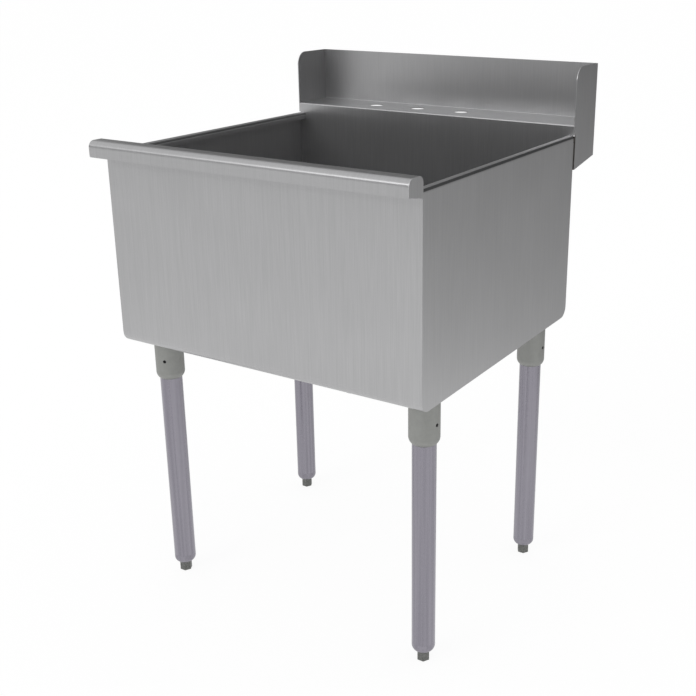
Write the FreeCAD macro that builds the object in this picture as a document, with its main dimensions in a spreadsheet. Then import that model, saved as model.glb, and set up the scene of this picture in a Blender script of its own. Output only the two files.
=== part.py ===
import FreeCAD, Part
import math
import os
import re
import Sketcher
from FreeCAD import Vector

# A free-standing laundry sink folded from stainless sheet: a deep square bowl with a rolled front,
# rolled side rims, a raised faucet deck with a splash, a basket strainer, and four tube legs in
# welded sockets with screwed hexagonal feet. Millimetres, +Z up, front towards -Y. The origin is on
# the floor, under the middle of the sink's outer box.

doc = FreeCAD.newDocument("laundry_sink")

# ---------------------------------------------------------------------------------------------
# Driving sizes
# ---------------------------------------------------------------------------------------------
SIZES = {
    # bowl
    "bowl_width": 635.0,          # across the outer faces of the side panels
    "bowl_depth": 557.5,          # front panel's outer face to back wall's rear face
    "bowl_height": 354.5,         # underside of the bowl to the top of the side rims
    "bowl_stand": 505.0,          # floor to the underside of the bowl
    "sheet": 1.5,                 # thickness of the stainless sheet
    "bowl_bend": 18.5,            # inside radius of the bends at the bottom of front and back
    "seam_rise": 45.0,            # welded seam across the back wall, above the underside
    # rolled rims of the side panels
    "rim_width": 16.0,            # outer face to the inner face of the turned-down lip
    "rim_bend": 6.0,              # inside radius
    "rim_lip": 14.0,              # height of the turned-down lip, from the top of the rim
    # front roll
    "roll_depth": 38.5,           # front panel's outer face to the face of the lip
    "roll_rise": 20.5,            # top of the side rims to the top of the roll
    "roll_lip": 28.0,             # height of the lip, from the top of the roll
    "roll_bend": 10.5,            # inside radius
    "cap_front": 27.0,            # height of the end cap at its front edge
    # faucet deck and splash
    "deck_depth": 97.5,           # back wall's rear face to the splash's rear face
    "deck_rise": 19.5,            # top of the side rims to the top of the deck
    "splash_rise": 105.2,         # top of the deck to the top of the splash
    "crease_bend": 1.5,           # inside radius of the sharp bends of the deck
    "end_gap": 3.5,               # relief between a side panel's rear edge and the end plate
    "end_nose": 25.4,             # radius of the end plate's upper front corner
    "end_drop_front": 84.8,       # deck top down to the end plate's lower front corner
    "end_drop_back": 70.2,        # deck top down to the end plate's lower rear corner
    "faucet_hole": 28.6,          # diameter
    "faucet_spacing": 101.6,      # centre to centre
    "faucet_shift": 50.8,         # middle hole, to the left of the sink's middle
    "faucet_setback": 48.8,       # back wall's rear face to the hole centres
    # recess for the strainer, pressed into the middle of the bottom
    "recess_radius": 62.0,        # at the bowl's floor
    "recess_depth": 3.5,
    "recess_slope": 4.0,          # how far in the sloping wall of the recess runs
    "drain_radius": 46.0,
    # basket strainer: turned cup with a flange on top and an outlet nipple below
    "flange_radius": 57.0,
    "flange_height": 2.0,
    "cup_radius": 44.5,
    "cup_wall": 2.0,
    "cup_depth": 58.0,            # flange seat to the underside of the cup
    "cup_floor": 3.0,
    "nipple_radius": 24.0,
    "nipple_length": 26.0,
    "outlet_radius": 18.0,
    "thread_clearance": 0.3,      # radial, round threads and turned pieces that are slipped on
    "gasket_radius": 60.0,
    "gasket_height": 3.0,
    "fibre_radius": 59.0,
    "fibre_height": 1.6,
    "lock_nut_radius": 54.0,
    "lock_nut_height": 10.0,
    "lug_reach": 8.0,             # how far the lugs stand out of the lock nut
    "lug_width": 12.0,
    "lug_count": 6,
    "tail_radius": 19.05,         # 1-1/2 in tailpiece
    "tail_wall": 1.0,
    "tail_length": 42.0,          # below the nipple
    "tail_flange_radius": 23.0,
    "tail_flange_height": 2.0,
    "washer_height": 2.5,
    "coupling_radius": 29.0,
    "coupling_height": 19.0,
    "coupling_floor": 3.0,
    "coupling_rib": 2.5,
    "tail_clearance": 0.9,        # radial, tailpiece in the coupling nut
    "rib_count": 8,
    # lift-out basket
    "basket_radius": 41.0,
    "basket_wall": 1.0,
    "basket_height": 30.0,
    "basket_rim": 1.2,
    "basket_bend": 6.0,
    "basket_hole": 5.0,
    "inner_hole_circle": 15.0,
    "outer_hole_circle": 26.0,
    "inner_hole_count": 6,
    "outer_hole_count": 12,
    "stopper_radius": 30.0,
    "stopper_height": 5.0,
    "post_radius": 3.0,
    "knob_radius": 8.0,
    "knob_height": 8.0,
    "post_height": 34.0,          # basket's floor to the top of the knob
    # legs
    "leg_inset_side": 38.3,       # side panel's outer face to the leg's axis
    "leg_inset_front": 73.0,      # front panel's outer face to the leg's axis
    "leg_inset_back": 73.0,       # back wall's rear face to the leg's axis
    "plate_thickness": 3.0,
    "plate_width": 70.0,
    "plate_length": 100.0,
    "plate_corner": 10.0,
    "tube_radius": 20.65,         # 1-5/8 in tube
    "tube_wall": 1.5,
    "socket_wall": 5.8,
    "socket_length": 81.5,        # plate to the lower lip
    "socket_ceiling": 3.0,
    "socket_round": 15.0,
    "socket_slope": 5.1,          # height of the sloping edge that closes onto the tube
    "tube_clearance": 0.15,       # radial, tube in socket
    "screw_drop": 43.5,           # plate to the set screw's axis
    "screw_radius": 3.1,
    "screw_clearance": 0.1,
    "screw_length": 5.0,
    "screw_key": 1.8,             # corner radius of the hexagonal key socket
    "screw_key_depth": 3.0,
    # adjustable feet
    "foot_height": 18.5,          # floor to the underside of the insert, foot screwed in
    "foot_flats": 20.6,
    "foot_gap": 0.3,              # foot to insert, foot screwed in
    "foot_floor": 4.0,            # bottom of the foot to the end of the stud
    "insert_shoulder": 19.0,
    "insert_round": 12.0,
    "insert_plug": 40.0,
    "insert_clearance": 0.1,      # radial, plug in tube
    "stud_radius": 7.94,          # 5/8 in thread
    "stud_length": 66.0,
    "stud_chamfer": 1.5,
}

sizes = doc.addObject("Spreadsheet::Sheet", "Sizes")
for row, (alias, number) in enumerate(SIZES.items(), start=1):
    sizes.set(f"A{row}", alias)
    sizes.set(f"B{row}", str(number))
    sizes.setAlias(f"B{row}", alias)
doc.recompute()

SIZE_WORD = re.compile(r"\b(" + "|".join(SIZES) + r")\b")


def in_sheet(formula):
    """Point the size names of a formula at the sheet."""
    return SIZE_WORD.sub(r"Sizes.\1", str(formula))


def number_of(formula):
    return float(sizes.evalExpression(in_sheet(formula)))


def bind(target, setting, formula):
    target.setExpression(setting, in_sheet(formula))


def place(piece, x="0", y="0", z="0", turn=None):
    """Put a piece at a point; turn is its angle about +Z in degrees."""
    if turn is not None:
        piece.Placement.Rotation = FreeCAD.Rotation(Vector(0, 0, 1), turn)
    bind(piece, "Placement.Base.x", x)
    bind(piece, "Placement.Base.y", y)
    bind(piece, "Placement.Base.z", z)


# ---------------------------------------------------------------------------------------------
# Sketches and features shared by the pieces
# ---------------------------------------------------------------------------------------------
PIECES = []


def new_piece(kind, name):
    """An object that is written out as a piece of its own, under its label."""
    piece = doc.addObject(kind, name)
    piece.Label = name
    PIECES.append(piece)
    return piece


def new_body(name):
    return new_piece("PartDesign::Body", name)


def new_sketch(body, plane, name):
    """A sketch on one of the body's own origin planes: XY, XZ or YZ."""
    sketch = body.newObject("Sketcher::SketchObject", f"{body.Name}_{name}")
    origin_plane = next(item for item in body.Origin.OriginFeatures if item.Role == f"{plane}_Plane")
    sketch.AttachmentSupport = [(origin_plane, "")]
    sketch.MapMode = "FlatFace"
    return sketch


def hold(sketch, kind, name, formula, *where):
    """A dimension of the sketch that follows a formula."""
    index = sketch.addConstraint(Sketcher.Constraint(kind, *where, number_of(formula)))
    sketch.renameConstraint(index, name)
    bind(sketch, f"Constraints.{name}", formula)


def hold_point(sketch, name, element, point, x, y):
    hold(sketch, "DistanceX", f"{name}_x", x, -1, 1, element, point)
    hold(sketch, "DistanceY", f"{name}_y", y, -1, 1, element, point)


def draw_outline(sketch, corners):
    """A closed outline of straight edges. A corner is (x, y), or (x, y, radius) if it is rounded."""
    points = [Vector(number_of(corner[0]), number_of(corner[1]), 0) for corner in corners]
    count = len(corners)
    arrive = list(points)
    leave = list(points)
    arcs = {}
    for i, corner in enumerate(corners):
        if len(corner) == 3:
            radius = number_of(corner[2])
            to_last = (points[i - 1] - points[i]).normalize()
            to_next = (points[(i + 1) % count] - points[i]).normalize()
            half_angle = to_last.getAngle(to_next) / 2
            arrive[i] = points[i] + to_last * (radius / math.tan(half_angle))
            leave[i] = points[i] + to_next * (radius / math.tan(half_angle))
            centre = points[i] + (to_last + to_next).normalize() * (radius / math.sin(half_angle))
            left_turn = to_next.cross(to_last).z > 0
            first, last = (arrive[i], leave[i]) if left_turn else (leave[i], arrive[i])
            circle = Part.Circle(centre, Vector(0, 0, 1), radius)
            arcs[i] = (Part.ArcOfCircle(circle, circle.parameter(first), circle.parameter(last)), left_turn)
    edges = [sketch.addGeometry(Part.LineSegment(leave[i], arrive[(i + 1) % count]), False)
             for i in range(count)]
    for i, corner in enumerate(corners):
        name = f"corner_{i}"
        edge_in, edge_out = edges[i - 1], edges[i]
        if i in arcs:
            arc, left_turn = arcs[i]
            bend = sketch.addGeometry(arc, False)
            mark = sketch.addGeometry(Part.Point(points[i]), True)
            sketch.addConstraint(Sketcher.Constraint("Tangent", edge_in, 2, bend, 1 if left_turn else 2))
            sketch.addConstraint(Sketcher.Constraint("Tangent", edge_out, 1, bend, 2 if left_turn else 1))
            sketch.addConstraint(Sketcher.Constraint("PointOnObject", mark, 1, edge_in))
            sketch.addConstraint(Sketcher.Constraint("PointOnObject", mark, 1, edge_out))
            hold_point(sketch, name, mark, 1, corner[0], corner[1])
            hold(sketch, "Radius", f"{name}_radius", corner[2], bend)
        else:
            sketch.addConstraint(Sketcher.Constraint("Coincident", edge_in, 2, edge_out, 1))
            hold_point(sketch, name, edge_out, 1, corner[0], corner[1])


def draw_circle(sketch, name, x, y, radius):
    circle = Part.Circle(Vector(number_of(x), number_of(y), 0), Vector(0, 0, 1), number_of(radius))
    element = sketch.addGeometry(circle, False)
    hold_point(sketch, name, element, 3, x, y)
    hold(sketch, "Radius", f"{name}_radius", radius, element)


def folded(face):
    """The closed outline of a sheet bent square. face is the sheet's face on the right hand side of
    the way along it: its ends are (x, y) and its bends (x, y, inside radius)."""
    points = [(number_of(corner[0]), number_of(corner[1])) for corner in face]
    steps = []
    for (x0, y0), (x1, y1) in zip(points, points[1:]):
        length = math.hypot(x1 - x0, y1 - y0)
        steps.append((round((x1 - x0) / length), round((y1 - y0) / length)))
    near, far = [], []
    for i, corner in enumerate(face):
        before = steps[max(i - 1, 0)]
        after = steps[min(i, len(steps) - 1)]
        normals = {(-before[1], before[0]), (-after[1], after[0])}
        shift_x = sum(normal[0] for normal in normals)
        shift_y = sum(normal[1] for normal in normals)
        opposite = (f"{corner[0]} + {shift_x} * sheet", f"{corner[1]} + {shift_y} * sheet")
        if len(corner) == 3:
            left_turn = before[0] * after[1] - before[1] * after[0] > 0
            inside, outside = corner[2], f"{corner[2]} + sheet"
            near.append((corner[0], corner[1], outside if left_turn else inside))
            far.append(opposite + (inside if left_turn else outside,))
        else:
            near.append(corner)
            far.append(opposite)
    return near + far[::-1]


def pad(body, sketch, name, length, symmetric=False):
    feature = body.newObject("PartDesign::Pad", f"{body.Name}_{name}")
    feature.Profile = sketch
    feature.SideType = "Symmetric" if symmetric else "One side"
    bind(feature, "Length", length)
    return feature


def pocket(body, sketch, name):
    """Cut through everything on the side that the sketch's normal points to."""
    before = body.Shape.Volume
    feature = body.newObject("PartDesign::Pocket", f"{body.Name}_{name}")
    feature.Profile = sketch
    feature.Type = "ThroughAll"
    feature.Reversed = True
    doc.recompute()
    assert body.Shape.Volume < before - 1.0, f"{feature.Name} cuts nothing"
    return feature


def around(body, feature, name, count):
    """Copies of a feature in a ring about the body's Z axis."""
    ring = body.newObject("PartDesign::PolarPattern", f"{body.Name}_{name}")
    ring.Originals = [feature]
    axis = next(item for item in body.Origin.OriginFeatures if item.Role == "Z_Axis")
    ring.Axis = (axis, [""])
    ring.Angle = 360
    bind(ring, "Occurrences", count)
    body.Tip = ring
    doc.recompute()
    return ring


def turn_profile(body, name, corners):
    """A revolved feature; corners are (distance from the axis, height)."""
    sketch = new_sketch(body, "XZ", f"{name}_profile")
    draw_outline(sketch, corners)
    feature = body.newObject("PartDesign::Revolution", f"{body.Name}_{name}")
    feature.Profile = sketch
    feature.ReferenceAxis = (sketch, ["V_Axis"])
    feature.Angle = 360
    doc.recompute()
    return feature


def ring_profile(inner, outer, low, high):
    return [(inner, low), (outer, low), (outer, high), (inner, high)]


# ---------------------------------------------------------------------------------------------
# Bowl. Its sheets are drawn from the front panel's outer face and the bowl's underside.
# ---------------------------------------------------------------------------------------------
FRONT = "(roll_depth - bowl_depth - deck_depth) / 2"
ROLL_TOP = "bowl_height + roll_rise"
DECK_TOP = "bowl_height + deck_rise"
SPLASH_TOP = "bowl_height + deck_rise + splash_rise"
INNER_WIDTH = "bowl_width - 2 * sheet"
DRAIN_Y = "bowl_depth / 2"


def bowl_wrap():
    """Front roll, front panel, bottom and the start of the back wall, with the drain recess."""
    body = new_body("bowl_wrap")
    section = new_sketch(body, "YZ", "section")
    draw_outline(section, folded([
        ("sheet - roll_depth", f"{ROLL_TOP} - roll_lip"),
        ("sheet - roll_depth", f"{ROLL_TOP} - sheet", "roll_bend"),
        ("0", f"{ROLL_TOP} - sheet", "roll_bend"),
        ("0", "0", "bowl_bend"),
        ("bowl_depth", "0", "bowl_bend"),
        ("bowl_depth", "seam_rise"),
    ]))
    pad(body, section, "fold", INNER_WIDTH, symmetric=True)
    doc.recompute()

    opening = new_sketch(body, "XY", "recess_edge")
    draw_circle(opening, "recess", "0", DRAIN_Y, "recess_radius")
    cut = body.newObject("PartDesign::Pocket", "bowl_wrap_recess_cut")
    cut.Profile = opening
    cut.Reversed = True
    bind(cut, "Length", "sheet")
    doc.recompute()

    recess = new_sketch(body, "YZ", "recess_section")
    draw_outline(recess, [
        (f"{DRAIN_Y} + recess_radius", "0"),
        (f"{DRAIN_Y} + recess_radius", "sheet"),
        (f"{DRAIN_Y} + recess_radius - recess_slope", "sheet - recess_depth"),
        (f"{DRAIN_Y} + drain_radius", "sheet - recess_depth"),
        (f"{DRAIN_Y} + drain_radius", "-recess_depth"),
        (f"{DRAIN_Y} + recess_radius - recess_slope", "-recess_depth"),
    ])
    axis = new_sketch(body, "YZ", "drain_axis")
    line = axis.addGeometry(Part.LineSegment(Vector(number_of(DRAIN_Y), 0, 0),
                                             Vector(number_of(DRAIN_Y), 10, 0)), False)
    axis.addConstraint(Sketcher.Constraint("Vertical", line))
    hold_point(axis, "foot", line, 1, DRAIN_Y, "0")
    hold(axis, "Distance", "length", "recess_depth", line)
    dish = body.newObject("PartDesign::Revolution", "bowl_wrap_dish")
    dish.Profile = recess
    dish.ReferenceAxis = (axis, ["Edge1"])
    dish.Angle = 360
    place(body, y=FRONT, z="bowl_stand")


def back_deck_sheet():
    """Back wall between the side panels, then riser, deck and splash across the full width."""
    body = new_body("back_deck_sheet")
    deck_and_splash = [
        ("bowl_depth", f"{DECK_TOP} - sheet", "crease_bend"),
        ("bowl_depth + deck_depth", f"{DECK_TOP} - sheet", "crease_bend"),
        ("bowl_depth + deck_depth", SPLASH_TOP),
    ]
    for name, start, width in (("wall", "seam_rise", INNER_WIDTH), ("deck", "bowl_height", "bowl_width")):
        section = new_sketch(body, "YZ", f"{name}_section")
        draw_outline(section, folded([("bowl_depth", start)] + deck_and_splash))
        pad(body, section, f"{name}_fold", width, symmetric=True)
        doc.recompute()
    holes = new_sketch(body, "XY", "faucet_hole_centres")
    for place_in_row in (-1, 0, 1):
        draw_circle(holes, f"hole_{place_in_row + 2}", f"{place_in_row} * faucet_spacing - faucet_shift",
                    "bowl_depth + faucet_setback", "faucet_hole / 2")
    pocket(body, holes, "faucet_holes")
    place(body, y=FRONT, z="bowl_stand")


def side_panel(name, x, turn):
    """Flat panel drawn about its own middle, outer face at X = 0, with its rim rolled towards +X."""
    body = new_body(name)
    panel_top = "bowl_height - rim_lip"
    outline = new_sketch(body, "YZ", "outline")
    draw_outline(outline, [
        ("-bowl_depth / 2", "0", "bowl_bend + sheet"),
        ("bowl_depth / 2", "0", "bowl_bend + sheet"),
        ("bowl_depth / 2", panel_top),
        ("-bowl_depth / 2", panel_top),
    ])
    pad(body, outline, "panel", "sheet")
    rim = new_sketch(body, "XZ", "rim_section")
    draw_outline(rim, folded([
        ("sheet", panel_top),
        ("sheet", "bowl_height - sheet", "rim_bend"),
        ("rim_width - sheet", "bowl_height - sheet", "rim_bend"),
        ("rim_width - sheet", panel_top),
    ]))
    pad(body, rim, "rim", "bowl_depth - 2 * sheet", symmetric=True)
    place(body, x, f"{FRONT} + bowl_depth / 2", "bowl_stand", turn)


def end_plate(name, corners, x):
    """Flat plate in a plane square to X, from x towards +X by the sheet's thickness."""
    body = new_body(name)
    outline = new_sketch(body, "YZ", "outline")
    draw_outline(outline, corners)
    pad(body, outline, "plate", "sheet")
    place(body, x, FRONT, "bowl_stand")


ROLL_CAP = [
    ("-roll_depth", f"{ROLL_TOP} - cap_front"),
    ("-roll_depth", ROLL_TOP, "roll_bend + sheet"),
    ("sheet", ROLL_TOP, "roll_bend + sheet"),
    ("sheet", "bowl_height - rim_lip"),
]
SPLASH_END = [
    ("bowl_depth + end_gap", f"{DECK_TOP} - end_drop_front"),
    ("bowl_depth + end_gap", "bowl_height"),
    ("bowl_depth - sheet", "bowl_height"),
    ("bowl_depth - sheet", SPLASH_TOP, "end_nose"),
    ("bowl_depth + deck_depth", SPLASH_TOP),
    ("bowl_depth + deck_depth", f"{DECK_TOP} - end_drop_back"),
]

bowl_wrap()
back_deck_sheet()
side_panel("side_panel_left", "-bowl_width / 2", 0)
side_panel("side_panel_right", "bowl_width / 2", 180)
end_plate("roll_cap_left", ROLL_CAP, "-bowl_width / 2")
end_plate("roll_cap_right", ROLL_CAP, "bowl_width / 2 - sheet")
end_plate("splash_end_left", SPLASH_END, "-bowl_width / 2 - sheet")
end_plate("splash_end_right", SPLASH_END, "bowl_width / 2")

# ---------------------------------------------------------------------------------------------
# Basket strainer. Heights are from the flange's seat, the floor of the recess.
# ---------------------------------------------------------------------------------------------
SEAT = "bowl_stand + sheet - recess_depth"
CUP_BORE = "cup_radius - cup_wall"
CUP_FLOOR_TOP = "cup_floor - cup_depth"
NIPPLE_END = "-cup_depth - nipple_length"
SLIP_ON_CUP = "cup_radius + thread_clearance"
SLIP_ON_NIPPLE = "nipple_radius + thread_clearance"


def at_drain(body):
    place(body, y=f"{FRONT} + {DRAIN_Y}", z=SEAT)


def strainer_body():
    body = new_body("strainer_body")
    turn_profile(body, "cup", [
        (CUP_BORE, "flange_height"),
        ("flange_radius", "flange_height", "flange_height / 2"),
        ("flange_radius", "0"),
        ("cup_radius", "0"),
        ("cup_radius", "-cup_depth", "cup_floor"),
        ("nipple_radius", "-cup_depth"),
        ("nipple_radius", NIPPLE_END),
        ("outlet_radius", NIPPLE_END),
        ("outlet_radius", CUP_FLOOR_TOP),
        (CUP_BORE, CUP_FLOOR_TOP, "cup_floor"),
    ])
    at_drain(body)


def washer_ring(name, inner, outer, low, high):
    body = new_body(name)
    turn_profile(body, "ring", ring_profile(inner, outer, low, high))
    at_drain(body)


def strainer_lock_nut():
    """Ring nut with lugs to knock it tight."""
    body = new_body("strainer_lock_nut")
    high = "-sheet - gasket_height - fibre_height"
    low = f"{high} - lock_nut_height"
    turn_profile(body, "ring", ring_profile(SLIP_ON_CUP, "lock_nut_radius", low, high))
    section = new_sketch(body, "XZ", "lug_section")
    draw_outline(section, ring_profile("lock_nut_radius - cup_wall", "lock_nut_radius + lug_reach", low, high))
    lug = pad(body, section, "lug", "lug_width", symmetric=True)
    around(body, lug, "lugs", "lug_count")
    at_drain(body)


def coupling_nut():
    """Cap nut round the nipple, ribbed for the hand, whose floor pulls the tailpiece up."""
    body = new_body("coupling_nut")
    ceiling = f"{NIPPLE_END} - washer_height - tail_flange_height"
    low = f"{ceiling} - coupling_floor"
    turn_profile(body, "cap", [
        ("tail_radius + tail_clearance", low),
        ("coupling_radius", low, "coupling_floor / 2"),
        ("coupling_radius", f"{low} + coupling_height"),
        (SLIP_ON_NIPPLE, f"{low} + coupling_height"),
        (SLIP_ON_NIPPLE, ceiling),
        ("tail_radius + tail_clearance", ceiling),
    ])
    section = new_sketch(body, "XZ", "rib_section")
    draw_outline(section, ring_profile("coupling_radius - coupling_rib", "coupling_radius + coupling_rib",
                                       f"{low} + coupling_floor", f"{low} + coupling_height"))
    rib = pad(body, section, "rib", "2 * coupling_rib", symmetric=True)
    around(body, rib, "ribs", "rib_count")
    at_drain(body)


def tailpiece():
    body = new_body("tailpiece")
    high = f"{NIPPLE_END} - washer_height"
    turn_profile(body, "tube", [
        ("tail_radius - tail_wall", f"{NIPPLE_END} - tail_length"),
        ("tail_radius", f"{NIPPLE_END} - tail_length"),
        ("tail_radius", f"{high} - tail_flange_height"),
        ("tail_flange_radius", f"{high} - tail_flange_height"),
        ("tail_flange_radius", high),
        ("tail_radius - tail_wall", high),
    ])
    at_drain(body)


STOPPER_TOP = "cup_floor - cup_depth + stopper_height"
BASKET_FLOOR_TOP = "cup_floor - cup_depth + stopper_height + basket_wall"


def basket_cup():
    """Perforated cup that stands on its stopper in the strainer."""
    body = new_body("basket_cup")
    rim_top = f"{STOPPER_TOP} + basket_height"
    bore = "basket_radius - basket_rim - basket_wall"
    turn_profile(body, "cup", [
        ("post_radius", STOPPER_TOP),
        ("basket_radius - basket_rim", STOPPER_TOP, "basket_bend + basket_wall"),
        ("basket_radius - basket_rim", f"{rim_top} - basket_wall"),
        ("basket_radius", f"{rim_top} - basket_wall"),
        ("basket_radius", rim_top),
        (bore, rim_top),
        (bore, BASKET_FLOOR_TOP, "basket_bend"),
        ("post_radius", BASKET_FLOOR_TOP),
    ])
    for ring in ("inner", "outer"):
        hole = new_sketch(body, "XY", f"{ring}_hole")
        draw_circle(hole, "hole", f"{ring}_hole_circle", "0", "basket_hole / 2")
        before = body.Shape.Volume
        cut = body.newObject("PartDesign::Pocket", f"basket_{ring}_hole_cut")
        cut.Profile = hole
        cut.Type = "ThroughAll"
        doc.recompute()
        assert body.Shape.Volume < before - 1.0, f"{cut.Name} cuts nothing"
        around(body, cut, f"{ring}_holes", f"{ring}_hole_count")
    at_drain(body)


def basket_stopper():
    """Rubber disc under the basket that closes the outlet."""
    body = new_body("basket_stopper")
    turn_profile(body, "disc", [
        ("post_radius", CUP_FLOOR_TOP),
        ("stopper_radius", CUP_FLOOR_TOP, "stopper_height / 4"),
        ("stopper_radius", STOPPER_TOP, "stopper_height / 4"),
        ("post_radius", STOPPER_TOP),
    ])
    at_drain(body)


def basket_post():
    body = new_body("basket_post")
    knob_top = f"{BASKET_FLOOR_TOP} + post_height"
    turn_profile(body, "post", [
        ("0", CUP_FLOOR_TOP),
        ("post_radius", CUP_FLOOR_TOP),
        ("post_radius", f"{knob_top} - knob_height"),
        ("knob_radius", f"{knob_top} - knob_height", "knob_height / 4"),
        ("knob_radius", knob_top, "knob_height / 3"),
        ("0", knob_top),
    ])
    at_drain(body)


strainer_body()
washer_ring("strainer_gasket", SLIP_ON_CUP, "gasket_radius", "-sheet - gasket_height", "-sheet")
washer_ring("friction_ring", SLIP_ON_CUP, "fibre_radius", "-sheet - gasket_height - fibre_height",
            "-sheet - gasket_height")
strainer_lock_nut()
washer_ring("slip_washer", "outlet_radius", "tail_flange_radius", f"{NIPPLE_END} - washer_height", NIPPLE_END)
tailpiece()
coupling_nut()
basket_cup()
basket_stopper()
basket_post()

# ---------------------------------------------------------------------------------------------
# Legs. Each piece is drawn about the leg's axis; socket and screw have their screw towards +X.
# ---------------------------------------------------------------------------------------------
LEFT = "leg_inset_side - bowl_width / 2"
RIGHT = "bowl_width / 2 - leg_inset_side"
FRONT_ROW = f"{FRONT} + leg_inset_front"
BACK_ROW = f"{FRONT} + bowl_depth - leg_inset_back"
PLATE_UNDERSIDE = "bowl_stand - plate_thickness"
SOCKET_BORE = "tube_radius + tube_clearance"
INSERT_TOP = "foot_height + insert_shoulder"
STUD_BORE = "stud_radius + thread_clearance"

# name of the leg, its axis, and the way its set screw faces in degrees from +X
LEGS = (
    ("front_left", LEFT, FRONT_ROW, -67.5),
    ("front_right", RIGHT, FRONT_ROW, -8.5),
    ("rear_left", LEFT, BACK_ROW, 180.0),
    ("rear_right", RIGHT, BACK_ROW, -5.5),
)


def leg_plate(leg, x, y):
    body = new_body(f"leg_plate_{leg}")
    outline = new_sketch(body, "XY", "outline")
    corners = (("-1", "-1"), ("1", "-1"), ("1", "1"), ("-1", "1"))
    draw_outline(outline, [(f"{across} * plate_width / 2", f"{along} * plate_length / 2", "plate_corner")
                           for across, along in corners])
    pad(body, outline, "plate", "plate_thickness")
    place(body, x, y, PLATE_UNDERSIDE)


def leg_socket(leg, x, y, turn):
    """Closed cup, welded to the plate, with a threaded hole for the set screw."""
    body = new_body(f"leg_socket_{leg}")
    outer = f"{SOCKET_BORE} + socket_wall"
    turn_profile(body, "cup", [
        (SOCKET_BORE, "-socket_length"),
        (outer, "socket_slope - socket_length", "socket_round"),
        (outer, "0"),
        ("0", "0"),
        ("0", "-socket_ceiling"),
        (SOCKET_BORE, "-socket_ceiling"),
    ])
    hole = new_sketch(body, "YZ", "screw_hole")
    draw_circle(hole, "hole", "0", "-screw_drop", "screw_radius + screw_clearance")
    pocket(body, hole, "screw_hole_cut")
    place(body, x, y, PLATE_UNDERSIDE, turn)


def set_screw(leg, x, y, turn):
    """Headless screw with a hexagonal key socket, its tip on the tube."""
    shank = doc.addObject("Part::Cylinder", f"screw_shank_{leg}")
    bind(shank, "Radius", "screw_radius")
    bind(shank, "Height", "screw_length")
    place(shank, z=SOCKET_BORE)
    key = doc.addObject("Part::Prism", f"screw_key_{leg}")
    key.Polygon = 6
    bind(key, "Circumradius", "screw_key")
    bind(key, "Height", "screw_key_depth")
    place(key, z=f"{SOCKET_BORE} + screw_length - screw_key_depth")
    screw = doc.addObject("Part::Cut", f"set_screw_{leg}")
    screw.Base = shank
    screw.Tool = key
    outwards = FreeCAD.Rotation(Vector(0, 1, 0), 90)
    screw.Placement.Rotation = FreeCAD.Rotation(Vector(0, 0, 1), turn).multiply(outwards)
    place(screw, x, y, f"{PLATE_UNDERSIDE} - screw_drop")
    return screw


def leg_tube(leg, x, y):
    body = new_body(f"leg_tube_{leg}")
    turn_profile(body, "tube", ring_profile("tube_radius - tube_wall", "tube_radius", INSERT_TOP,
                                            f"{PLATE_UNDERSIDE} - socket_ceiling"))
    place(body, x, y)


def foot_insert(leg, x, y):
    """Plug with a rounded shoulder, bored for the stud."""
    body = new_body(f"foot_insert_{leg}")
    plug = "tube_radius - tube_wall - insert_clearance"
    turn_profile(body, "plug", [
        (STUD_BORE, "foot_height"),
        ("tube_radius", "foot_height", "insert_round"),
        ("tube_radius", INSERT_TOP),
        (plug, INSERT_TOP),
        (plug, f"{INSERT_TOP} + insert_plug"),
        (STUD_BORE, f"{INSERT_TOP} + insert_plug"),
    ])
    place(body, x, y)


def foot_stud(leg, x, y):
    body = new_body(f"foot_stud_{leg}")
    turn_profile(body, "shank", [
        ("0", "foot_floor"),
        ("stud_radius", "foot_floor"),
        ("stud_radius", "foot_floor + stud_length", "stud_chamfer"),
        ("0", "foot_floor + stud_length"),
    ])
    place(body, x, y)


def hex_foot(leg, x, y):
    """Hexagonal bar with a blind bore for the stud."""
    bar = doc.addObject("Part::Prism", f"hex_bar_{leg}")
    bar.Polygon = 6
    bind(bar, "Circumradius", "foot_flats / sqrt(3)")
    bind(bar, "Height", "foot_height - foot_gap")
    bore = doc.addObject("Part::Cylinder", f"hex_bore_{leg}")
    bind(bore, "Radius", STUD_BORE)
    bind(bore, "Height", "foot_height")
    place(bore, z="foot_floor")
    foot = new_piece("Part::Cut", f"hex_foot_{leg}")
    foot.Base = bar
    foot.Tool = bore
    place(foot, x, y)


for leg, x, y, turn in LEGS:
    leg_plate(leg, x, y)
    leg_socket(leg, x, y, turn)
    leg_tube(leg, x, y)
    foot_insert(leg, x, y)
    foot_stud(leg, x, y)
    hex_foot(leg, x, y)

set_screws = new_piece("Part::Compound", "socket_set_screws")
set_screws.Links = [set_screw(*leg) for leg in LEGS]

# ---------------------------------------------------------------------------------------------
# Check every object, then write each piece to a file of its own
# ---------------------------------------------------------------------------------------------
doc.recompute()
for item in doc.Objects:
    failed = {"Invalid", "Error"} & set(item.State)
    assert not failed, f"{item.Label} is {failed}"
for piece in PIECES:
    assert not piece.Shape.isNull() and piece.Shape.isValid(), f"{piece.Label} has no sound shape"
    assert piece.Shape.Volume > 0 and piece.Shape.Solids, f"{piece.Label} has no solid"

os.makedirs("parts", exist_ok=True)
for piece in PIECES:
    piece.Shape.exportStep(f"parts/{piece.Label}.step")
    print(piece.Label, len(piece.Shape.Solids), round(piece.Shape.Volume, 1))
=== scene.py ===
import math

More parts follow.
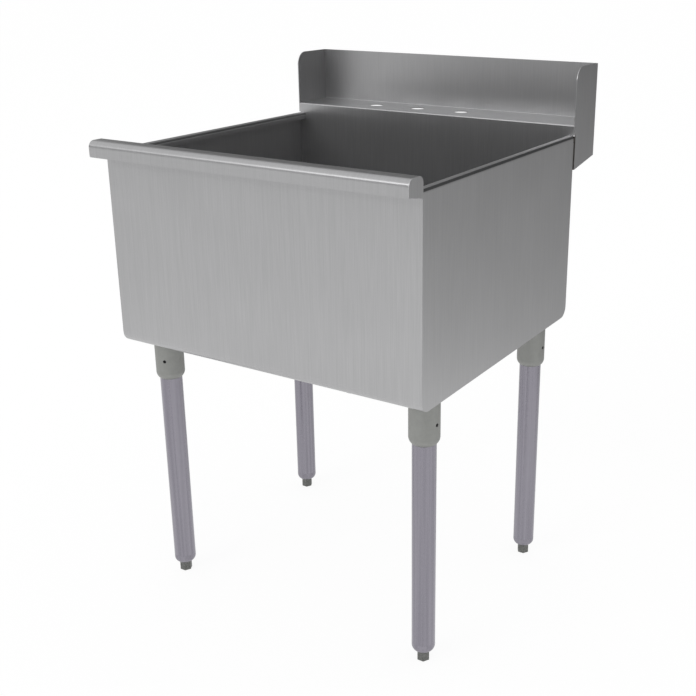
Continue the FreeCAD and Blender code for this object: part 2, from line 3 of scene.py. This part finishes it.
import bpy
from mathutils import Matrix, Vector


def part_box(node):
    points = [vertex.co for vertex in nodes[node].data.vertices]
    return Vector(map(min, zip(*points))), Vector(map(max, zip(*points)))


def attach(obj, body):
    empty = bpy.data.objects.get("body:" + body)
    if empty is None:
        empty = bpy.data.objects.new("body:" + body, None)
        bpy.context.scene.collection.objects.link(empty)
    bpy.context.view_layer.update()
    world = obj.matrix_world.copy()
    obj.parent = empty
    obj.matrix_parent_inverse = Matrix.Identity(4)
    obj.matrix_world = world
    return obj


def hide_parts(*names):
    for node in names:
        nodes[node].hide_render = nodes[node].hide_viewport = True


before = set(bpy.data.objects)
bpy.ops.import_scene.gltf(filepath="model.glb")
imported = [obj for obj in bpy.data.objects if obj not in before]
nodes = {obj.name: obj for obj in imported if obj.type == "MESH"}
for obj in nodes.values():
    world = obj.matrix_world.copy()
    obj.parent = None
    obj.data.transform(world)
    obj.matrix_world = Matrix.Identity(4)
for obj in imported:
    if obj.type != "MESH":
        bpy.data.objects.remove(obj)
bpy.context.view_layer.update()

# ------------------------------------------------------------------------------------------------
# Bowl, deck and splash: eight pieces of 1.5 mm austenitic stainless sheet, satin brushed with a belt
# along the strip before it was folded, then welded at the edges, with the welds ground flush.
# The belt leaves fine scratches that run up the walls, and a soft, stretched reflection.
# ------------------------------------------------------------------------------------------------
SATIN_DARK = "#B1B1B2"
SATIN_LIGHT = "#BCBCBD"
SATIN_ROUGHNESS = 0.38
# In millimetres. Real scratches are about 0.1 mm wide; 1.2 mm is the narrowest that the picture can show.
SCRATCH_WIDTH = 1.2
SCRATCH_LENGTH = 90
# The scratches' share of the steel's tone. Hand marks and uneven belt pressure give the rest.
SCRATCH_SHARE = 0.75
# A line of painted shade, some 4 mm high, darkens the bend of each side rim.
BEND_BELOW_RIM = 0.0033
BEND_HALF_HEIGHT = 0.0019
BEND_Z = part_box("side_panel_left")[1].z - BEND_BELOW_RIM


def linear(colour):
    """Linear RGBA of an sRGB hex colour."""
    channels = [int(colour[i:i + 2], 16) / 255 for i in (1, 3, 5)]
    return [c / 12.92 if c <= 0.04045 else ((c + 0.055) / 1.055) ** 2.4 for c in channels] + [1]


def new_material(name):
    """An empty node material and its tree."""
    material = bpy.data.materials.new(name)
    material.use_nodes = True
    material.node_tree.nodes.clear()
    return material, material.node_tree


def node(tree, kind, inputs, **settings):
    """A node with its settings, and its inputs set to values or linked to sockets."""
    made = tree.nodes.new(kind)
    for name, setting in settings.items():
        setattr(made, name, setting)
    for socket, source in inputs.items():
        if isinstance(source, bpy.types.NodeSocket):
            tree.links.new(source, made.inputs[socket])
        else:
            made.inputs[socket].default_value = source
    return made


def shades(tree, factor, first, last, low=0.35, high=0.65):
    """A colour ramp from the first colour at low to the last at high."""
    ramp = node(tree, "ShaderNodeValToRGB", {"Fac": factor})
    ramp.color_ramp.elements[0].position = low
    ramp.color_ramp.elements[0].color = linear(first)
    ramp.color_ramp.elements[1].position = high
    ramp.color_ramp.elements[1].color = linear(last)
    return ramp.outputs["Color"]


def made_of(material, *names):
    """Give the named solids their material."""
    for name in names:
        nodes[name].material_slots[0].material = material


def brushed_sheet(name, across, bend_shade):
    """Satin brushed stainless steel. across points square to the scratches, which stretch a reflection that
    way, and bend_shade is the share of its colour that a side rim's bend keeps: a line of painted shade."""
    material, tree = new_material(name)
    place = node(tree, "ShaderNodeTexCoord", {}).outputs["Object"]
    stretch = [1000 / (SCRATCH_WIDTH if way else SCRATCH_LENGTH) for way in across]
    along = node(tree, "ShaderNodeMapping", {"Vector": place, "Scale": stretch}).outputs["Vector"]
    scratches = node(tree, "ShaderNodeTexNoise",
                     {"Vector": along, "Scale": 1, "Detail": 4, "Roughness": 0.65}).outputs["Fac"]
    # hand marks, some 150 mm across
    clouds = node(tree, "ShaderNodeTexNoise", {"Vector": place, "Scale": 7, "Detail": 2}).outputs["Fac"]
    fine = node(tree, "ShaderNodeMath", {0: scratches, 1: SCRATCH_SHARE}, operation="MULTIPLY").outputs[0]
    mixed = node(tree, "ShaderNodeMath", {0: clouds, 1: 1 - SCRATCH_SHARE, 2: fine},
                 operation="MULTIPLY_ADD").outputs[0]
    gloss = node(tree, "ShaderNodeMapRange",
                 {"Value": mixed, "From Min": 0.3, "From Max": 0.7,
                  "To Min": SATIN_ROUGHNESS - 0.02, "To Max": SATIN_ROUGHNESS + 0.02}).outputs["Result"]
    relief = node(tree, "ShaderNodeBump",
                  {"Height": scratches, "Strength": 0.1, "Distance": 0.00003}).outputs["Normal"]
    tangent = node(tree, "ShaderNodeCombineXYZ", dict(zip("XYZ", across))).outputs["Vector"]
    height = node(tree, "ShaderNodeSeparateXYZ", {"Vector": place}).outputs["Z"]
    # Painted shade: the colour in a band about the side rim's bend is scaled down by bend_shade.
    bend = node(tree, "ShaderNodeMath", {0: height, 1: BEND_Z, 2: BEND_HALF_HEIGHT},
                operation="COMPARE").outputs[0]
    rim_painted_shade = node(tree, "ShaderNodeMapRange",
                  {"Value": bend, "To Min": 1.0, "To Max": bend_shade}).outputs["Result"]
    colour = node(tree, "ShaderNodeVectorMath",
                  {0: shades(tree, mixed, SATIN_DARK, SATIN_LIGHT), "Scale": rim_painted_shade},
                  operation="SCALE").outputs[0]
    shader = node(tree, "ShaderNodeBsdfPrincipled",
                  {"Base Color": colour, "Metallic": 0.9, "Roughness": gloss, "Anisotropic": 0.42,
                   "Normal": relief, "Tangent": tangent})
    node(tree, "ShaderNodeOutputMaterial", {"Surface": shader.outputs["BSDF"]})
    return material


# The folded strips are brushed up their walls and from front to back, the sides and end plates straight up.
# Only the side panels have the line of painted shade along the bend.
strip_steel = brushed_sheet("brushed_stainless_strip", across=(1, 0, 0), bend_shade=1.0)
panel_steel = brushed_sheet("brushed_stainless_panel", across=(0, 1, 0), bend_shade=0.35)
plate_steel = brushed_sheet("brushed_stainless_plate", across=(0, 1, 0), bend_shade=1.0)
made_of(strip_steel, "bowl_wrap", "back_deck_sheet")
for side in ("left", "right"):
    made_of(panel_steel, f"side_panel_{side}")
    made_of(plate_steel, f"roll_cap_{side}", f"splash_end_{side}")

# ------------------------------------------------------------------------------------------------
# Corner welds: a bead in the narrow relief between each side panel's rear edge and the end plate of
# the splash. It is laid by hand, one ripple after another; its dark colour is painted shade for the shaded
# gap.
# ------------------------------------------------------------------------------------------------
RELIEF = 0.0035
WELD_RADIUS = 0.0021
WELD_PITCH = 0.0017
WELD_BELOW_RIM = 0.0035
WELD_BELOW_FACE = 0.0007
WELD_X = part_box("side_panel_right")[1].x - WELD_BELOW_FACE


def weld_tint_and_shade(name, dark, light):
    """Weld metal with a dull skin, in patches some 4 mm across. On the corner welds its dark colour is
    painted shade.
    """
    material, tree = new_material(name)
    place = node(tree, "ShaderNodeTexCoord", {}).outputs["Object"]
    skin = node(tree, "ShaderNodeTexNoise", {"Vector": place, "Scale": 1000 / 4, "Detail": 4}).outputs["Fac"]
    gloss = node(tree, "ShaderNodeMapRange",
                 {"Value": skin, "To Min": 0.35, "To Max": 0.65}).outputs["Result"]
    relief = node(tree, "ShaderNodeBump",
                  {"Height": skin, "Strength": 0.3, "Distance": 0.0002}).outputs["Normal"]
    shader = node(tree, "ShaderNodeBsdfPrincipled",
                  {"Base Color": shades(tree, skin, dark, light), "Metallic": 0.9,
                   "Roughness": gloss, "Normal": relief})
    node(tree, "ShaderNodeOutputMaterial", {"Surface": shader.outputs["BSDF"]})
    return material


# Painted shade: the corner beads are coloured dark to stand in for the shadow in the relief.
corner_painted_shade = weld_tint_and_shade("dark_weld_painted_shade", "#3E3B38", "#575350")
for side, x in (("left", -WELD_X), ("right", WELD_X)):
    panel_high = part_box(f"side_panel_{side}")[1]
    end_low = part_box(f"splash_end_{side}")[0]
    top = panel_high.z - WELD_BELOW_RIM
    bpy.ops.object.select_all(action="DESELECT")
    bpy.ops.mesh.primitive_uv_sphere_add(segments=12, ring_count=8, radius=WELD_RADIUS)
    bead = bpy.context.object
    bead.name = f"corner_weld_{side}"
    run = bead.modifiers.new("ripples", "ARRAY")
    run.use_relative_offset = False
    run.use_constant_offset = True
    run.constant_offset_displace = (0, 0, -WELD_PITCH)
    run.count = int((top - end_low.z) / WELD_PITCH)
    bpy.ops.object.modifier_apply(modifier=run.name)
    bpy.ops.object.mode_set(mode="EDIT")
    bpy.ops.mesh.select_all(action="SELECT")
    bpy.ops.transform.translate(value=(x, panel_high.y + RELIEF / 2, top))
    bpy.ops.object.mode_set(mode="OBJECT")
    bpy.ops.object.shade_smooth()
    bead.data.materials.append(corner_painted_shade)
    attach(bead, "sink")

# ------------------------------------------------------------------------------------------------
# Basket strainer: drawn and turned stainless pieces, buffed until the lathe marks are faint rings.
# They mirror the bowl more clearly than the satin sheet does.
# ------------------------------------------------------------------------------------------------
drain_low, drain_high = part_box("strainer_body")
DRAIN_Y = (drain_low.y + drain_high.y) / 2
# A wave texture turns through this many radians in each unit of length.
WAVE_TURN = 20


def turned_metal(name, dark, light, roughness, groove):
    """Turned or spun metal, with rings about the drain's axis. Its grooves are groove millimetres apart, and
    the rings are drawn tau times as coarse, so that they show."""
    material, tree = new_material(name)
    place = node(tree, "ShaderNodeTexCoord", {}).outputs["Object"]
    centred = node(tree, "ShaderNodeMapping",
                   {"Vector": place, "Location": (0, -DRAIN_Y, 0)}).outputs["Vector"]
    rings = node(tree, "ShaderNodeTexWave",
                 {"Vector": centred, "Scale": 1000 / groove / WAVE_TURN, "Distortion": 0.4, "Detail": 2},
                 wave_type="RINGS", rings_direction="Z").outputs["Fac"]
    # finger marks, some 17 mm across
    marks = node(tree, "ShaderNodeTexNoise", {"Vector": place, "Scale": 60, "Detail": 3}).outputs["Fac"]
    gloss = node(tree, "ShaderNodeMapRange",
                 {"Value": marks, "To Min": roughness - 0.06, "To Max": roughness + 0.06}).outputs["Result"]
    relief = node(tree, "ShaderNodeBump",
                  {"Height": rings, "Strength": 0.1, "Distance": 0.0001}).outputs["Normal"]
    shader = node(tree, "ShaderNodeBsdfPrincipled",
                  {"Base Color": shades(tree, marks, dark, light), "Metallic": 1.0,
                   "Roughness": gloss, "Normal": relief})
    node(tree, "ShaderNodeOutputMaterial", {"Surface": shader.outputs["BSDF"]})
    return material


buffed_steel = turned_metal("buffed_stainless", "#B2B2B4", "#C4C4C5", roughness=0.2, groove=0.8)
made_of(buffed_steel, "strainer_body", "basket_cup", "basket_post")

# ------------------------------------------------------------------------------------------------
# Below the drain: a cast zinc lock nut and coupling nut, left as they came from the die, and a
# tailpiece of thin brass tube with bright chrome plate.
# ------------------------------------------------------------------------------------------------
nut_zinc = turned_metal("die_cast_zinc", "#8E8C88", "#A7A5A0", roughness=0.42, groove=1.6)
chrome = turned_metal("chrome_plate", "#C2C4C6", "#D0D2D4", roughness=0.1, groove=0.9)
made_of(nut_zinc, "strainer_lock_nut", "coupling_nut")
made_of(chrome, "tailpiece")

# ------------------------------------------------------------------------------------------------
# Seals: moulded black nitrile rubber for the gasket, the slip washer and the basket's stopper, and a
# ring of pressed brown vulcanised fibre that lets the lock nut turn under the gasket.
# ------------------------------------------------------------------------------------------------


def matt(name, dark, light, roughness, fleck):
    """A matt material with flecks that are fleck millimetres across."""
    material, tree = new_material(name)
    place = node(tree, "ShaderNodeTexCoord", {}).outputs["Object"]
    flecks = node(tree, "ShaderNodeTexNoise",
                  {"Vector": place, "Scale": 1000 / fleck, "Detail": 4, "Roughness": 0.6}).outputs["Fac"]
    relief = node(tree, "ShaderNodeBump",
                  {"Height": flecks, "Strength": 0.25, "Distance": 0.0003}).outputs["Normal"]
    gloss = node(tree, "ShaderNodeMapRange",
                 {"Value": flecks, "To Min": roughness - 0.1, "To Max": roughness + 0.1}).outputs["Result"]
    shader = node(tree, "ShaderNodeBsdfPrincipled",
                  {"Base Color": shades(tree, flecks, dark, light), "Roughness": gloss, "Normal": relief})
    node(tree, "ShaderNodeOutputMaterial", {"Surface": shader.outputs["BSDF"]})
    return material


rubber = matt("nitrile_rubber", "#1B1B1C", "#262627", roughness=0.6, fleck=1.2)
fibre = matt("vulcanised_fibre", "#6B4A2E", "#86603E", roughness=0.75, fleck=2.5)
made_of(rubber, "strainer_gasket", "slip_washer", "basket_stopper")
made_of(fibre, "friction_ring")

# ------------------------------------------------------------------------------------------------
# Legs: steel plates under the bowl with cast sockets welded to them, 1-5/8 in tube held in each by a
# black oxide set screw, and an insert and hexagonal foot below. Plate, socket, tube and insert have a
# soft grey galvanised skin with faint crystals, a little mauve on the tube, and the foot a dull one.
# ------------------------------------------------------------------------------------------------
CORNERS = ("front_left", "front_right", "rear_left", "rear_right")


def galvanised(name, dark, light, roughness, crystal, share, bloom_size, metal):
    """Zinc skin: a share of crystals that are crystal millimetres across, and a dull bloom whose patches
    are bloom_size millimetres along X, Y and Z. metal is how metallic it has stayed."""
    material, tree = new_material(name)
    place = node(tree, "ShaderNodeTexCoord", {}).outputs["Object"]
    crystals = node(tree, "ShaderNodeTexVoronoi",
                    {"Vector": place, "Scale": 1000 / crystal}).outputs["Color"]
    tone = node(tree, "ShaderNodeRGBToBW", {"Color": crystals}).outputs["Val"]
    stretch = [1000 / size for size in bloom_size]
    along = node(tree, "ShaderNodeMapping", {"Vector": place, "Scale": stretch}).outputs["Vector"]
    bloom = node(tree, "ShaderNodeTexNoise", {"Vector": along, "Scale": 1, "Detail": 3}).outputs["Fac"]
    part = node(tree, "ShaderNodeMath", {0: tone, 1: share}, operation="MULTIPLY").outputs[0]
    mixed = node(tree, "ShaderNodeMath", {0: bloom, 1: 1 - share, 2: part},
                 operation="MULTIPLY_ADD").outputs[0]
    gloss = node(tree, "ShaderNodeMapRange",
                 {"Value": mixed, "From Min": 0.3, "From Max": 0.7,
                  "To Min": roughness - 0.05, "To Max": roughness + 0.05}).outputs["Result"]
    relief = node(tree, "ShaderNodeBump",
                  {"Height": bloom, "Strength": 0.1, "Distance": 0.0002}).outputs["Normal"]
    shader = node(tree, "ShaderNodeBsdfPrincipled",
                  {"Base Color": shades(tree, mixed, dark, light), "Metallic": metal,
                   "Roughness": gloss, "Normal": relief})
    node(tree, "ShaderNodeOutputMaterial", {"Surface": shader.outputs["BSDF"]})
    return material


# The tube's skin is wiped lengthwise as it leaves the bath, so its streaks are long and 6 mm wide.
tube_zinc = galvanised("galvanised_tube", "#8B8891", "#9A97A0", roughness=0.28, metal=1.0,
                       crystal=5, share=0.04, bloom_size=(6, 6, 500))
socket_zinc = galvanised("galvanised_casting", "#969794", "#9E9F9C", roughness=0.48, metal=0.7,
                         crystal=3, share=0.1, bloom_size=(14, 14, 14))
plate_zinc = galvanised("galvanised_plate", "#8F9093", "#A1A2A5", roughness=0.45, metal=1.0,
                        crystal=8, share=0.35, bloom_size=(20, 20, 20))
insert_zinc = galvanised("galvanised_insert", "#8B8891", "#9A97A0", roughness=0.34, metal=0.95,
                         crystal=3, share=0.1, bloom_size=(8, 8, 30))
foot_zinc = galvanised("dull_zinc_foot", "#626361", "#7F807D", roughness=0.45, metal=0.7,
                       crystal=2, share=0.3, bloom_size=(3, 3, 3))
black_oxide = matt("black_oxide_screw", "#141415", "#1F1F21", roughness=0.5, fleck=1.0)
for corner in CORNERS:
    made_of(plate_zinc, f"leg_plate_{corner}")
    made_of(socket_zinc, f"leg_socket_{corner}")
    made_of(tube_zinc, f"leg_tube_{corner}")
    made_of(insert_zinc, f"foot_insert_{corner}")
    made_of(foot_zinc, f"hex_foot_{corner}")
made_of(black_oxide, "socket_set_screws")

# ------------------------------------------------------------------------------------------------
# Socket welds: a ring of weld ripples between each cast socket and its plate, painted with zinc-rich
# cold galvanising after welding, so it is a little darker and duller than the casting.
# ------------------------------------------------------------------------------------------------
SOCKET_RIPPLES = 46
RIPPLE_RADIUS = 0.0028
ring_tint = weld_tint_and_shade("zinc_painted_weld", "#6F706E", "#8A8B88")
for corner in CORNERS:
    socket_low, socket_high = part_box(f"leg_socket_{corner}")
    middle = (socket_low + socket_high) / 2
    radius = (socket_high.x - socket_low.x) / 2
    bpy.ops.object.select_all(action="DESELECT")
    bpy.ops.mesh.primitive_uv_sphere_add(segments=12, ring_count=8, radius=RIPPLE_RADIUS)
    ring = bpy.context.object
    ring.name = f"socket_weld_{corner}"
    bpy.ops.object.mode_set(mode="EDIT")
    bpy.ops.mesh.select_all(action="SELECT")
    bpy.ops.transform.translate(value=(middle.x + radius, middle.y, socket_high.z - RIPPLE_RADIUS / 2))
    bpy.ops.mesh.spin(steps=SOCKET_RIPPLES - 1, dupli=True,
                      angle=math.tau * (SOCKET_RIPPLES - 1) / SOCKET_RIPPLES,
                      center=(middle.x, middle.y, socket_high.z), axis=(0, 0, 1))
    bpy.ops.object.mode_set(mode="OBJECT")
    bpy.ops.object.shade_smooth()
    ring.data.materials.append(ring_tint)
    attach(ring, "sink")

# ------------------------------------------------------------------------------------------------
# Foot studs: 5/8-11 threaded rod, zinc plated, screwed into the insert and fast in the foot. The
# thread shows when the foot is screwed out to level the sink.
# ------------------------------------------------------------------------------------------------
THREAD_PITCH = 0.0254 / 11
THREAD_DEPTH = 0.00125
THREAD_PLAY = 0.00006
ROD_SIDES = 32
ROD_CHAMFER = 0.0012
# The rod is plain for this length below and above its thread, and this much thicker than the thread's root.
ROD_END = 0.002
ROD_OVERLAP = 0.0001
# Points nearer to each other than this are one point.
SAME_POINT = 0.00001
screw_zinc = galvanised("zinc_plated_screw", "#8C8D8F", "#A3A4A6", roughness=0.35, metal=1.0,
                        crystal=2, share=0.1, bloom_size=(3, 3, 3))
for corner in CORNERS:
    stud_low, stud_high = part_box(f"foot_stud_{corner}")
    middle = (stud_low + stud_high) / 2
    crest = (stud_high.x - stud_low.x) / 2 - THREAD_PLAY
    root = crest - THREAD_DEPTH
    rod_low, rod_high = stud_low.z + THREAD_PLAY, stud_high.z
    turns = int((stud_high.z - stud_low.z - 2 * ROD_END) / THREAD_PITCH)
    bpy.ops.object.select_all(action="DESELECT")
    bpy.ops.mesh.primitive_plane_add(size=1, rotation=(math.pi / 2, 0, 0))
    stud = bpy.context.object
    stud.name = f"threaded_stud_{corner}"
    bpy.ops.object.transform_apply(location=True, rotation=True, scale=True)
    # A square standing on its corner, without its inner corner, is the ridge of one turn.
    bpy.ops.object.mode_set(mode="EDIT")
    bpy.ops.mesh.select_mode(type="VERT")
    bpy.ops.mesh.select_all(action="SELECT")
    bpy.ops.transform.rotate(value=math.pi / 4, orient_axis="Y", center_override=(0, 0, 0))
    bpy.ops.transform.resize(value=(THREAD_DEPTH * math.sqrt(2), 1, THREAD_PITCH / math.sqrt(2)),
                             center_override=(0, 0, 0))
    bpy.ops.transform.translate(value=(root, 0, stud_low.z + ROD_END + THREAD_PITCH / 2))
    bpy.ops.mesh.select_all(action="DESELECT")
    bpy.ops.object.mode_set(mode="OBJECT")
    for point in stud.data.vertices:
        point.select = point.co.x < root - THREAD_DEPTH / 2
    bpy.ops.object.mode_set(mode="EDIT")
    bpy.ops.mesh.delete(type="VERT")
    bpy.ops.object.mode_set(mode="OBJECT")
    thread = stud.modifiers.new("thread", "SCREW")
    thread.axis = "Z"
    thread.screw_offset = THREAD_PITCH
    thread.iterations = turns - 1
    thread.steps = ROD_SIDES
    thread.render_steps = ROD_SIDES
    thread.use_merge_vertices = True
    thread.use_smooth_shade = False
    bpy.ops.object.modifier_apply(modifier=thread.name)
    bpy.ops.object.mode_set(mode="EDIT")
    bpy.ops.mesh.select_all(action="SELECT")
    bpy.ops.transform.translate(value=(middle.x, middle.y, 0))
    bpy.ops.mesh.select_all(action="DESELECT")
    # The rod itself, chamfered at both ends, closes the thread.
    bpy.ops.mesh.primitive_cylinder_add(vertices=ROD_SIDES, radius=root + ROD_OVERLAP,
                                        depth=rod_high - rod_low,
                                        location=(middle.x, middle.y, (rod_low + rod_high) / 2))
    bpy.ops.mesh.select_all(action="DESELECT")
    bpy.ops.object.mode_set(mode="OBJECT")
    for edge in stud.data.edges:
        ends = [stud.data.vertices[i].co.z for i in edge.vertices]
        edge.select = min(ends) > rod_high - SAME_POINT or max(ends) < rod_low + SAME_POINT
    bpy.ops.object.mode_set(mode="EDIT")
    bpy.ops.mesh.select_mode(type="EDGE")
    bpy.ops.mesh.bevel(offset=ROD_CHAMFER, segments=1, affect="EDGES")
    bpy.ops.mesh.select_all(action="SELECT")
    bpy.ops.mesh.remove_doubles(threshold=SAME_POINT)
    bpy.ops.mesh.normals_make_consistent(inside=False)
    bpy.ops.object.mode_set(mode="OBJECT")
    bpy.ops.object.select_all(action="DESELECT")
    stud.select_set(True)
    bpy.ops.object.shade_smooth_by_angle(angle=math.radians(35))
    stud.data.materials.append(screw_zinc)
    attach(stud, f"stud_{corner}")
    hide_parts(f"foot_stud_{corner}")

# ------------------------------------------------------------------------------------------------
# Studio: a white floor, even light from all round, and one soft lamp far off at the front left. Cards
# behind, beside and in front of the sink show only in reflections, and give the metal its edges.
# ------------------------------------------------------------------------------------------------


def seen(tree, by_camera, by_metal):
    """How far a surface shows its glow: by_camera to the camera and through glass, by_metal in reflections,
    and not at all to what it lights."""
    path = node(tree, "ShaderNodeLightPath", {}).outputs
    clear = node(tree, "ShaderNodeMath", {0: path["Is Camera Ray"], 1: path["Is Transmission Ray"]},
                 operation="MAXIMUM").outputs[0]
    straight = node(tree, "ShaderNodeMath", {0: clear, 1: by_camera}, operation="MULTIPLY").outputs[0]
    mirrored = node(tree, "ShaderNodeMath", {0: path["Is Glossy Ray"], 1: by_metal},
                    operation="MULTIPLY").outputs[0]
    return node(tree, "ShaderNodeMath", {0: straight, 1: mirrored}, operation="MAXIMUM").outputs[0]


bpy.ops.object.select_all(action="DESELECT")
bpy.ops.mesh.primitive_plane_add(size=60)
floor = bpy.context.object
floor.name = "floor"
material, tree = new_material("white_paper_floor")
paper = node(tree, "ShaderNodeBsdfDiffuse", {"Color": linear("#F8F8F8")})
glow = node(tree, "ShaderNodeEmission", {"Color": linear("#FFFFFF"), "Strength": 1.05})
# In the metal the paper is brightest in front of the sink, and falls off behind it and far away.
place = node(tree, "ShaderNodeTexCoord", {}).outputs["Object"]
distance = node(tree, "ShaderNodeVectorMath", {0: place}, operation="LENGTH").outputs["Value"]
near = node(tree, "ShaderNodeMapRange", {"Value": distance, "From Min": 1.6, "From Max": 3.4,
                                         "To Min": 0.8, "To Max": 0.35}).outputs["Result"]
depth = node(tree, "ShaderNodeSeparateXYZ", {"Vector": place}).outputs["Y"]
rear = node(tree, "ShaderNodeMapRange", {"Value": depth, "From Min": -0.1, "From Max": 1.2,
                                         "To Min": 1.0, "To Max": 0.45}).outputs["Result"]
bright = node(tree, "ShaderNodeMath", {0: near, 1: rear}, operation="MULTIPLY").outputs[0]
mix = node(tree, "ShaderNodeMixShader",
           {0: seen(tree, by_camera=0.86, by_metal=bright), 1: paper.outputs[0], 2: glow.outputs[0]})
node(tree, "ShaderNodeOutputMaterial", {"Surface": mix.outputs[0]})
floor.data.materials.append(material)


def hang(card, material, tree, colour):
    """Hang a card that glows in reflections alone: it isn't seen, lights nothing and casts no shadow."""
    glow = node(tree, "ShaderNodeEmission", {"Color": colour, "Strength": 1.0})
    node(tree, "ShaderNodeOutputMaterial", {"Surface": glow.outputs[0]})
    card.data.materials.append(material)
    card.visible_camera = False
    card.visible_diffuse = False
    card.visible_shadow = False


# The grey card is half of a tall ring round the back: white at its two ends, and between them grey,
# darker the higher it goes.
CARD_MIDDLE = 1.25
CARD_SWEEP = math.radians(185)
bpy.ops.object.select_all(action="DESELECT")
bpy.ops.mesh.primitive_cylinder_add(vertices=96, radius=1.4, depth=2.6, end_fill_type="NOTHING",
                                    location=(0, 0, CARD_MIDDLE))
card = bpy.context.object
card.name = "grey_card"
bpy.ops.object.mode_set(mode="EDIT")
bpy.ops.mesh.select_mode(type="FACE")
bpy.ops.mesh.select_all(action="DESELECT")
bpy.ops.object.mode_set(mode="OBJECT")
for face in card.data.polygons:
    face.select = math.atan2(face.center.y, face.center.x) % math.tau > CARD_SWEEP
bpy.ops.object.mode_set(mode="EDIT")
bpy.ops.mesh.delete(type="FACE")
bpy.ops.object.mode_set(mode="OBJECT")
material, tree = new_material("grey_card")
place = node(tree, "ShaderNodeTexCoord", {}).outputs["Object"]
parts = node(tree, "ShaderNodeSeparateXYZ", {"Vector": place}).outputs
depth = node(tree, "ShaderNodeMapRange",
             {"Value": parts["Y"], "From Min": -0.15, "From Max": 0.75}).outputs["Result"]
height = node(tree, "ShaderNodeMapRange",
              {"Value": parts["Z"], "From Min": -CARD_MIDDLE, "From Max": -0.1}).outputs["Result"]
upright = shades(tree, height, "#CCCCCC", "#606060", low=0.0, high=1.0)
fade = node(tree, "ShaderNodeMix", {"Factor": depth, "A": linear("#FFFFFF"), "B": upright}, data_type="RGBA")
hang(card, material, tree, fade.outputs["Result"])

# A flat card beside the camera darkens the left end of the splash. Another, far off and low in front of
# the lamp, keeps the deck from being as bright as the panels.
for name, tone, width, height, middle, turn in (
        ("side_card", "#5A5A5A", 1.8, 1.9, (1.3, -1.5, 1.3), 41),
        ("front_card", "#6E6E6E", 11, 2.2, (-3.4, -5.9, 2.3), -30)):
    bpy.ops.object.select_all(action="DESELECT")
    bpy.ops.mesh.primitive_plane_add(size=1, location=middle)
    card = bpy.context.object
    card.name = name
    card.scale = (width, height, 1)
    card.rotation_euler = (math.radians(90), 0, math.radians(turn))
    material, tree = new_material(name)
    hang(card, material, tree, linear(tone))

world = bpy.data.worlds.new("studio")
world.use_nodes = True
tree = world.node_tree
tree.nodes.clear()
# The sky lights the object less than it shows, and the metal sees it in between.
strength = node(tree, "ShaderNodeMapRange",
                {"Value": seen(tree, by_camera=1, by_metal=0.6),
                 "To Min": 0.7, "To Max": 1.0}).outputs["Result"]
light = node(tree, "ShaderNodeBackground", {"Color": linear("#FFFFFF"), "Strength": strength})
node(tree, "ShaderNodeOutputWorld", {"Surface": light.outputs[0]})
bpy.context.scene.world = world

lamp = bpy.data.lights.new("softbox", "AREA")
lamp.shape = "RECTANGLE"
lamp.size = 4.6
lamp.size_y = 0.7
lamp.energy = 110
softbox = bpy.data.objects.new("softbox", lamp)
softbox.location = (-3.0, -7.7, 4.5)
front_roll = Vector((0, -0.3, 0.88))
softbox.rotation_euler = (front_roll - softbox.location).to_track_quat("-Z", "Y").to_euler()
bpy.context.scene.collection.objects.link(softbox)

# ------------------------------------------------------------------------------------------------
# Camera: 1.9 m away, in front of the sink and to its right, and 0.3 m above its rim, looking down,
# as in the photograph.
# ------------------------------------------------------------------------------------------------
lens = bpy.data.cameras.new("camera")
lens.sensor_width = 36
lens.lens = 53.67
lens.shift_x = -0.0898
lens.shift_y = -0.0536
lens.clip_end = 100
camera = bpy.data.objects.new("camera", lens)
camera.location = (1.0569, -1.5698, 1.1699)
camera.rotation_euler = (math.radians(71.33), 0, math.radians(31.07))
bpy.context.scene.collection.objects.link(camera)
bpy.context.scene.camera = camera
bpy.context.scene.view_settings.view_transform = "Standard"
